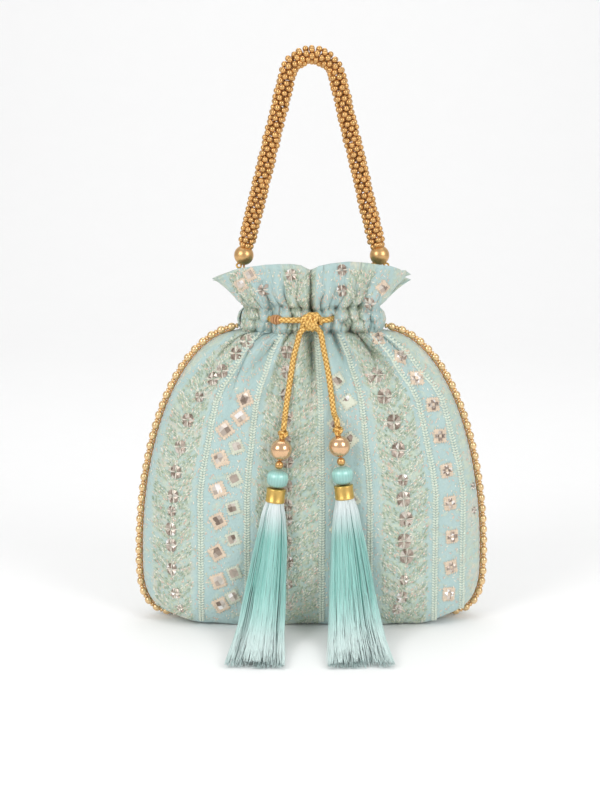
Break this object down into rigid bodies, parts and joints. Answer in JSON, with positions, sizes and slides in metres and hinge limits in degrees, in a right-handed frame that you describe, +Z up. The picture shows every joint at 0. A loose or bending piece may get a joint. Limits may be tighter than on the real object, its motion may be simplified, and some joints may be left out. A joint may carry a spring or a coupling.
{
  "type": "potli bag",
  "caption": "Gathered drawstring pouch with embroidered panels, beaded seam trim, a woven bead handle and silk tassels on the drawstring ends.",
  "frame": {"origin": "middle of the foot, on the surface that the bag stands on", "axes": "+Z up, +X to the right seen from the front, the front with the knot and tassels faces -Y"},
  "size_m": [0.1918, 0.111, 0.3061],
  "materials": {
    "embroidered_fabric": "aqua cloth with embroidery",
    "lining_satin": "satin",
    "trim_beads": "metallised gold",
    "gold_beads": "satin metallised gold",
    "pearl_beads": "pearl gold",
    "gold_cord": "braided metallic thread",
    "satin_winding": "silk wound smooth",
    "ferrule_brass": "brushed",
    "silk_strands": "silk strands"
  },
  "bodies": {
    "bag": {"front_panel": "embroidered_fabric", "back_panel": "embroidered_fabric", "lining": "lining_satin", "seam_bead_trim": "trim_beads", "drawstring": "gold_cord", "drawstring_knot": "gold_cord", "left_handle_tab": "lining_satin", "right_handle_tab": "lining_satin"},
    "handle": {"handle_bead_rope": "trim_beads", "left_handle_bead": "gold_beads", "left_handle_loop": "gold_cord", "right_handle_bead": "gold_beads", "right_handle_loop": "gold_cord"},
    "left_tassel": {"left_cord": "gold_cord", "left_end_knot": "gold_cord", "left_pearl_bead": "pearl_beads", "left_spacer_bead": "gold_beads", "left_satin_bead": "satin_winding", "left_ferrule": "ferrule_brass", "left_tassel_thread": "gold_cord", "left_tassel_skirt": "silk_strands"},
    "right_tassel": {"right_cord": "gold_cord", "right_end_knot": "gold_cord", "right_pearl_bead": "pearl_beads", "right_spacer_bead": "gold_beads", "right_satin_bead": "satin_winding", "right_ferrule": "ferrule_brass", "right_tassel_thread": "gold_cord", "right_tassel_skirt": "silk_strands"}
  },
  "joints": [
    {"name": "handle_swing", "type": "hinge", "parent": "bag", "child": "handle", "pos_m": [0, 0, 0.1908], "axis": [1, 0, 0], "range_deg": [-40, 40]},
    {"name": "left_tassel_swing", "type": "hinge", "parent": "bag", "child": "left_tassel", "pos_m": [-0.004, -0.0196, 0.1645], "axis": [-1, 0, 0], "range_deg": [0, 60]},
    {"name": "right_tassel_swing", "type": "hinge", "parent": "bag", "child": "right_tassel", "pos_m": [0.003, -0.0196, 0.1645], "axis": [-1, 0, 0], "range_deg": [0, 60]}
  ]
}
